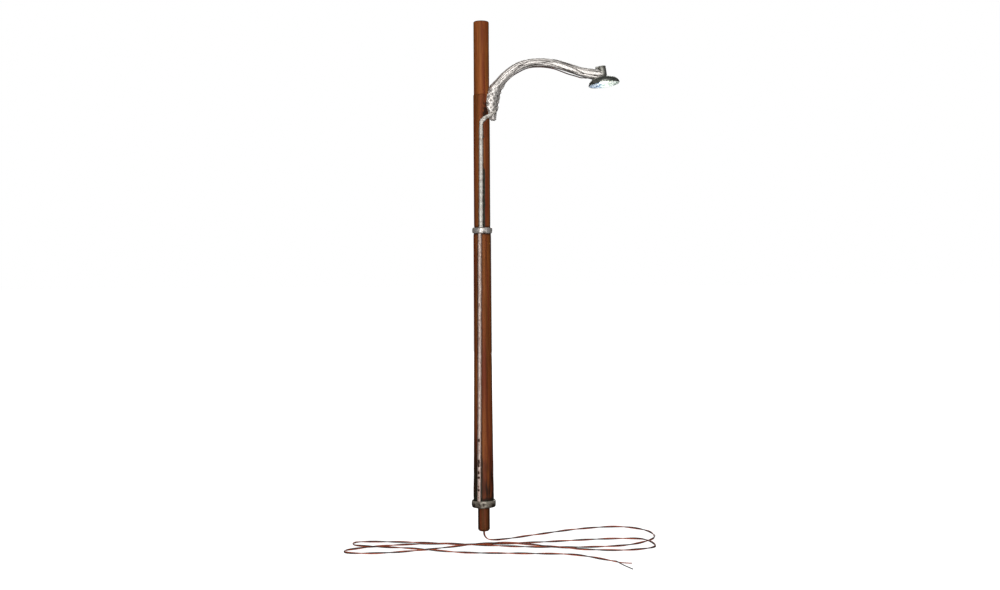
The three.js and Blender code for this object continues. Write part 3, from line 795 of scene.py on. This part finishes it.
def add_lower_conduit(paint):
    """The bead is worn into open links near the foot, where its crest has sunk in places."""
    heights = np.linspace(LOWER_BEAD_LOW, LOWER_BEAD_HIGH, 560)
    places = []
    radii = []
    dips = []
    for h in heights:
        places.append((*lower_bead_place(h), h))
        radii.append(0.36 + 0.04 * cloud(0, 0, h, 0.6))
        worn = min(1.0, max(0.25, (17 - h) / 5))
        dips.append(worn * min(1.0, max(0.12, 2.6 * cloud(7, 0, h, 0.6) + 0.1)))
    rings, stand = bead(np.array(places), np.array(radii), lower_radius)
    crest = np.clip(stand / 0.4, 0, 1) ** 8
    dip = -0.13 * crest * np.array(dips)[:, None]
    rings[..., :2] *= (1 + dip / np.hypot(rings[..., 0], rings[..., 1]))[..., None]
    relief = dip + bead_edge_painted_shade(stand)
    add_piece("conduit_lower_bead", [(rings, paint, False, relief)], ["conduit_lower"])


def add_upper_conduit(paint):
    """The straight bead with its elbow, and a second ridge over the elbow."""
    reach = MIDDLE_RADIUS + BEAD_SEAT

    def on_pole(x, z):
        return (x, -math.sqrt(reach ** 2 - x ** 2), z)

    straight = spaced(np.array([on_pole(-0.24, UPPER_BEAD_LOW), on_pole(-0.1, ELBOW)]), 0.12)
    bend = spaced(through([
        on_pole(-0.1, ELBOW), on_pole(-0.06, ELBOW + 0.75), on_pole(0.1, ELBOW + 1.35),
        on_pole(0.5, ELBOW + 1.8), (1.02, -1.42, ELBOW + 2.2), (1.5, -1.3, ELBOW + 2.55),
        (2.1, -1.15, ELBOW + 3), (2.75, -0.85, ELBOW + 3.6),
    ]), 0.08)
    ridge = spaced(through([
        on_pole(-0.14, ELBOW + 0.7), on_pole(-0.12, ELBOW + 1.5), on_pole(0.25, ELBOW + 2.02),
        on_pole(0.8, ELBOW + 2.4), (1.4, -1.35, ELBOW + 2.72), (1.95, -1.2, ELBOW + 2.95),
    ]), 0.08)
    surfaces = []
    for places, bend_radius in ((np.vstack([straight[:-1], bend]), 0.29), (ridge, 0.27)):
        uneven = np.array([0.05 * cloud(x, y, z, 0.4) for x, y, z in places])
        radii = np.interp(places[:, 2], [ELBOW, ELBOW + 1.6], [0.4, bend_radius])
        rings, stand = bead(places, radii + uneven, lambda z: MIDDLE_RADIUS)
        surfaces.append((rings, paint, False, uneven[:, None] + bead_edge_painted_shade(stand)))
    add_piece("conduit_upper_bead", surfaces, ["conduit_upper"])


# Gooseneck arm

# Centre x and z of the casting, half its depth in the arm's plane, half its width across it.
ARM_STATIONS = [
    (2.3, 77.15, 0.35, 0.35), (2.3, 77.35, 0.6, 0.58), (2.26, 77.95, 0.74, 0.8), (1.95, 79, 1.14, 1.28),
    (1.85, 80.3, 1.36, 1.53), (2, 81.7, 1.44, 1.52), (2.54, 83.23, 1.3, 1.3), (3.54, 84.63, 0.98, 1.06),
    (5.05, 86.3, 0.9, 0.95), (7.17, 87.81, 0.87, 0.9), (9.3, 88.58, 0.8, 0.88), (12, 88.78, 0.83, 0.88),
    (14.8, 88.46, 0.86, 0.88), (17.9, 87.5, 0.88, 0.9), (20.3, 86.73, 0.94, 0.92), (22.4, 86.3, 1.08, 0.96),
    (23.6, 86.15, 1.02, 1.04), (24.2, 86.2, 0.5, 1),
]

# How far the relief's middle lies under the stations' sizes.
ARM_SKIN = 0.03


def arm_relief(angle, along, across, height):
    """Cross-hatched strokes at the foot, then long ridges and grooves, uneven all over."""
    turn = 6 * angle
    strokes = max(math.cos(turn + TAU * along / 1.3), math.cos(turn - TAU * along / 1.3)) ** 3
    groove = abs(cloud(across * 2.6, height * 2.6, along * 0.15, 1))
    share = min(1.0, max(0.0, (along - 5) / 4))
    hatched = 0.05 * (strokes + 0.05)
    grooved = 0.09 * (min(groove, 0.3) - 0.13) / 0.3
    rough = 0.025 * cloud(across, height, along * 0.6, 0.28)
    return (1 - share) * hatched + (0.2 + 0.8 * share) * grooved + rough


def add_arm(paint):
    stations = np.array(ARM_STATIONS)
    centres = through(np.stack([stations[:, 0], 0 * stations[:, 0], stations[:, 1]], 1), 30)
    share = np.linspace(0, len(stations) - 1, len(centres))
    sizes = np.stack([np.interp(share, range(len(stations)), stations[:, k]) for k in (2, 3)], 1)
    tangents = np.gradient(centres, axis=0)
    tangents /= np.linalg.norm(tangents, axis=1)[:, None]
    reached = np.concatenate([[0], np.cumsum(np.linalg.norm(np.diff(centres, axis=0), axis=1))])
    corners = 96
    rings = np.zeros((len(centres), corners, 3))
    grain_at = np.zeros_like(rings)
    relief = np.zeros((len(centres), corners))
    for row, (centre, tangent, size, along) in enumerate(zip(centres, tangents, sizes, reached)):
        normal = np.array([tangent[2], 0, -tangent[0]])
        for corner in range(corners):
            angle = TAU * corner / corners
            cos, sin = math.cos(angle), math.sin(angle)
            height = arm_relief(angle, along, sin * size[1], cos * size[0])
            height *= min(1.0, size[0] / 0.8)
            rings[row, corner] = centre + normal * cos * (size[0] + height - ARM_SKIN)
            rings[row, corner, 1] = sin * (size[1] + height - ARM_SKIN)
            relief[row, corner] = height
            grain_at[row, corner] = (cos * size[0], sin * size[1], along)
    rings = outside_pole(rings)
    rings = outside_socket(rings)
    rings = outside_channel(rings)
    add_piece("arm", [(rings, paint, False, relief)], ["gooseneck_arm"], 60, grain_at)


def outside_pole(rings):
    reach = np.hypot(rings[..., 0], rings[..., 1])
    out = np.where(rings[..., 2] > LOWER_TOP, np.maximum(1, (MIDDLE_RADIUS + GAP) / reach), 1)
    rings[..., 0] *= out
    rings[..., 1] *= out
    return rings


def outside_socket(rings):
    """Corners inside the socket's space move straight out of it."""
    inverse = HEAD.inverted()
    wanted = box_radius("lamp_socket") + GAP
    for index in np.ndindex(rings.shape[:2]):
        here = inverse @ Vector(rings[index])
        reach = math.hypot(here.x, here.y)
        if 0 < here.z < 4 and reach < wanted:
            here.x *= wanted / reach
            here.y *= wanted / reach
            rings[index] = HEAD @ here
    return rings


def box_radius(node):
    """Half of a node's size across the arm, which on a turned piece is its radius."""
    low, high = box(node)
    return (high.y - low.y) / 2


def outside_channel(rings):
    """Corners inside the wire channel move out to its wall, which leaves an open groove."""
    route = spaced(strand_route(0)[:-1], 0.1)
    for index in np.ndindex(rings.shape[:2]):
        away = rings[index] - route
        distance = np.linalg.norm(away, axis=1)
        nearest = distance.argmin()
        if distance[nearest] < CHANNEL_RADIUS:
            rings[index] = route[nearest] + away[nearest] * CHANNEL_RADIUS / distance[nearest]
    return rings


# Lamp head

SHADE_RADIUS = 3.12
SHADE_HEIGHT = 1.7
SHADE_WALL = 0.2
SOCKET_RADIUS = 0.83
SOCKET_TOP = 3.32
CAP_HEIGHT = 0.33
BOARD_BOTTOM = 1.12
BOARD_TOP = 1.3
BOARD_RADIUS = 1.15
LED_CASE = (1.6, 0.8, 0.45)
LED_FACE = (1.18, 0.58, 0.04)
LENS_RADIUS = 0.95
LENS_DEPTH = 0.45
SOLDER_RADIUS = 0.11


def dome(radius, height, hole, count=36):
    start = math.acos(hole / radius)
    angles = np.linspace(start, 0, count + 1)
    return [(radius * math.cos(a), height * math.sin(a)) for a in angles]


def add_shade(outside_paint, inside_paint):
    outer = dome(SHADE_RADIUS, SHADE_HEIGHT, 0.5)
    inner = dome(SHADE_RADIUS - SHADE_WALL, SHADE_HEIGHT - SHADE_WALL, 0.5)[::-1]
    rim = [(SHADE_RADIUS - 0.03, -0.05), (SHADE_RADIUS - 0.1, -0.07), (SHADE_RADIUS - 0.17, -0.05)]
    outside = spread(turned(outer + rim, 128), lambda x, y, z: 0.01 * cloud(x, y, z, 0.6))[0]
    inside = turned([rim[-1]] + inner + [outer[0]], 128)
    inside[0] = outside[-1]
    inside[-1] = outside[0]
    rings = np.concatenate([outside, inside[1:-1]])
    dish = (to_head(rings), outside_paint, True, None)
    piece = add_piece("shade_dish", [dish], ["shade"], grain_at=rings)
    piece.data.materials.append(inside_paint)
    corners = rings.shape[1]
    for polygon in piece.data.polygons:
        if min(v // corners for v in polygon.vertices) >= len(outside) - 1:
            polygon.material_index = 1


def add_socket(paint):
    outline = fine([
        (0.45, 1.3), (0.95, 1.58), (0.9, 1.7), (SOCKET_RADIUS, 1.85), (SOCKET_RADIUS, SOCKET_TOP - 0.04),
        (SOCKET_RADIUS - 0.04, SOCKET_TOP), (0.45, SOCKET_TOP),
    ], 0.12)
    rings, relief = spread(turned(outline, 72), lambda x, y, z: 0.5 * cast(x, y, z), 0.7)
    add_piece("socket", [(to_head(rings), paint, True, relief)], ["lamp_socket"])


def add_cap(paint):
    """A disc with a square lug towards the pole, its edges eased."""
    reach, half = 1.25, 0.45
    start = math.pi - math.asin(half / SOCKET_RADIUS)
    outline = [
        (SOCKET_RADIUS * math.cos(a), SOCKET_RADIUS * math.sin(a)) for a in np.linspace(-start, start, 40)
    ]
    outline += [(-reach + 0.12, half), (-reach + 0.03, half - 0.03), (-reach, half - 0.12)]
    outline += [(-reach, -half + 0.12), (-reach + 0.03, -half + 0.03), (-reach + 0.12, -half)]
    flat = np.array(outline)
    bottom = SOCKET_TOP + GAP
    top = bottom + CAP_HEIGHT
    ease = 0.05
    levels = [(1 - ease, bottom), (1, bottom + ease), (1, top - ease), (1 - ease, top)]
    rings = np.array([[(x * share, y * share, z) for x, y in flat] for share, z in levels])
    add_piece("cap", [(to_head(rings), paint, False, None)], ["socket_cap"], 30)


def rounded_box(size, centre, ease, corners=8):
    """Rings of an upright box with eased edges, its corners rounded."""
    half_x, half_y, half_z = (length / 2 for length in size)
    flat = []
    for turn, (sx, sy) in enumerate([(1, 1), (-1, 1), (-1, -1), (1, -1)]):
        for step in range(corners + 1):
            angle = math.pi / 2 * (turn + step / corners)
            x = sx * (half_x - ease) + ease * math.cos(angle)
            y = sy * (half_y - ease) + ease * math.sin(angle)
            flat.append((x, y))
    levels = [(ease, -half_z), (0, -half_z + ease), (0, half_z - ease), (ease, half_z)]
    rings = [
        [(x - math.copysign(inset, x), y - math.copysign(inset, y), z) for x, y in flat]
        for inset, z in levels
    ]
    return np.array(rings) + np.array(centre)


def add_led(board, body, phosphor, lens, solder):
    """The board under the shade's crown, with the LED's case, lit face and lens below it."""
    ease = 0.03
    disc = [
        (AT_AXIS, BOARD_BOTTOM), (BOARD_RADIUS - ease, BOARD_BOTTOM), (BOARD_RADIUS, BOARD_BOTTOM + ease),
        (BOARD_RADIUS, BOARD_TOP), (AT_AXIS, BOARD_TOP),
    ]
    add_piece("led_disc", [(to_head(turned(disc, 64)), board, False, None)], ["led_board"])
    case_bottom = BOARD_BOTTOM - GAP - LED_CASE[2]
    case = rounded_box(LED_CASE, (0, 0, case_bottom + LED_CASE[2] / 2), 0.04)
    add_piece("led_case", [(to_head(case), body, False, None)], ["led_package"], 30)
    face = rounded_box(LED_FACE, (0, 0, case_bottom - LED_FACE[2] / 2), 0.01)
    add_piece("led_face", [(to_head(face), phosphor, False, None)], ["led_window"], 30)
    lens_top = case_bottom - LED_FACE[2] - 0.03
    skin = dome(LENS_RADIUS, LENS_DEPTH, AT_AXIS, 16)[::-1]
    bulb = [(AT_AXIS, lens_top)] + [(radius, lens_top - depth) for radius, depth in skin]
    add_piece("led_bulb", [(to_head(turned(bulb, 64)), lens, False, None)], ["led_lens"])
    drop = dome(SOLDER_RADIUS, SOLDER_RADIUS, SOLDER_RADIUS * math.cos(1.5), 8)[::-1]
    for name, side in (("copper", 1), ("dark", -1)):
        centre = np.array([0, side * STRAND_OFFSET, BOARD_TOP + GAP])
        rings = to_head(turned([(AT_AXIS, 0)] + drop, 24) + centre)
        add_piece("solder_" + name, [(rings, solder, False, None)], ["solder_joint_" + name])


# Studio

def area_light(name, place, target, size, power):
    lamp = bpy.data.lights.new(name, "AREA")
    lamp.shape = "RECTANGLE"
    lamp.size, lamp.size_y = size
    lamp.energy = power
    light = bpy.data.objects.new(name, lamp)
    light.location = place
    light.visible_camera = False
    light.rotation_euler = (Vector(target) - Vector(place)).to_track_quat("-Z", "Y").to_euler()
    bpy.context.scene.collection.objects.link(light)


def add_studio():
    scene = bpy.context.scene
    scene.view_settings.view_transform = "Standard"
    world = bpy.data.worlds.new("studio")
    world.use_nodes = True
    tree = world.node_tree
    scene.world = world
    dim = tree.nodes["Background"]
    dim.inputs["Color"].default_value = (1, 1, 1, 1)
    dim.inputs["Strength"].default_value = 0.07
    seen = add_node(tree, "Background", {"Color": (1, 1, 1, 1), "Strength": 1.0})
    by_camera = add_node(tree, "LightPath").outputs["Is Camera Ray"]
    either = add_node(tree, "MixShader", {0: by_camera, 1: dim.outputs[0], 2: seen.outputs[0]})
    tree.links.new(either.outputs[0], tree.nodes["World Output"].inputs["Surface"])
    target = (0.006, 0, 0.045)
    area_light("front", (-0.1, -0.43, 0.1), target, (0.14, 0.7), 1.4)
    area_light("above", (0.02, -0.3, 0.4), target, (0.3, 0.3), 0.25)
    area_light("below", (0.04, -0.3, -0.16), target, (0.3, 0.3), 0.3)
    area_light("right", (0.16, -0.42, 0.1), target, (0.1, 0.4), 0.4)
    area_light("back", (0.04, 0.5, 0.2), target, (0.2, 0.5), 1.3)
    bpy.ops.mesh.primitive_plane_add(size=6, location=(0, 0, FLOOR * MM))
    floor = bpy.context.object
    floor.name = "floor"
    floor.visible_diffuse = False
    floor.visible_glossy = False
    floor.visible_shadow = False
    paper, _, surface = shader("paper", Roughness=0.9, Emission_Strength=1.0)
    surface.inputs["Base Color"].default_value = (0.3, 0.3, 0.3, 1)
    surface.inputs["Emission Color"].default_value = (1, 1, 1, 1)
    floor.data.materials.append(paper)


add_camera()
copper = wire_enamel("enamel_copper", linear(186, 82, 34), linear(132, 50, 20), 0.1)
dark = wire_enamel("enamel_dark", linear(62, 50, 46), linear(34, 28, 26), 0.1)
add_lead(copper, dark)
add_feed_strand("feed_copper", 1, copper, "feed_strand_copper")
add_feed_strand("feed_dark", -1, dark, "feed_strand_dark")

silver = cast_silver("cast_silver", linear(230, 224, 218), linear(78, 72, 69), 0.055, 0.6)
band_silver = cast_silver("band_silver", linear(216, 210, 204), linear(92, 82, 74), 0.05, 0.7)
foot_silver = cast_silver("foot_silver", linear(166, 158, 144), linear(46, 34, 24), 0.05, 0.5)
head_silver = cast_silver("head_silver", linear(176, 175, 166), linear(58, 57, 50), 0.04)
# The top section is painted lighter and the peg darker than the rest of the pole.
add_pole(
    brown_paint("pole_paint", linear(136, 76, 34), linear(88, 44, 18)),
    brown_paint("top_paint", linear(160, 92, 42), linear(118, 60, 26)),
    brown_paint("peg_paint", linear(110, 60, 26), linear(56, 28, 12)),
    bush_resin(),
)
# Middle band: painted shade along its top and bottom edges.
add_band("band_middle", "middle_band", MIDDLE_RADIUS, band_silver, lambda turn: 0.5 - turn ** 4, 0.6)
# Base band: a painted highlight along its top edge, and darker below it.
add_band(
    "band_base", "base_band", FOOT_RADIUS, foot_silver, lambda turn: 3 * max(0.0, turn - 0.3) - 0.9, 1.0, 1.2,
)
add_lower_conduit(conduit_paint("conduit_pink", linear(214, 196, 186), linear(150, 116, 102)))
add_upper_conduit(conduit_paint("conduit_silver", linear(216, 212, 204), linear(168, 156, 144)))
add_arm(silver)
add_socket(head_silver)
add_cap(head_silver)
add_shade(shade_enamel(), shade_white(0.45))
add_led(
    white_paint("board_resin", linear(232, 232, 226)), white_paint("led_case_resin", linear(244, 242, 234)),
    lit_phosphor(), clear_lens(), bright_solder(),
)
add_studio()
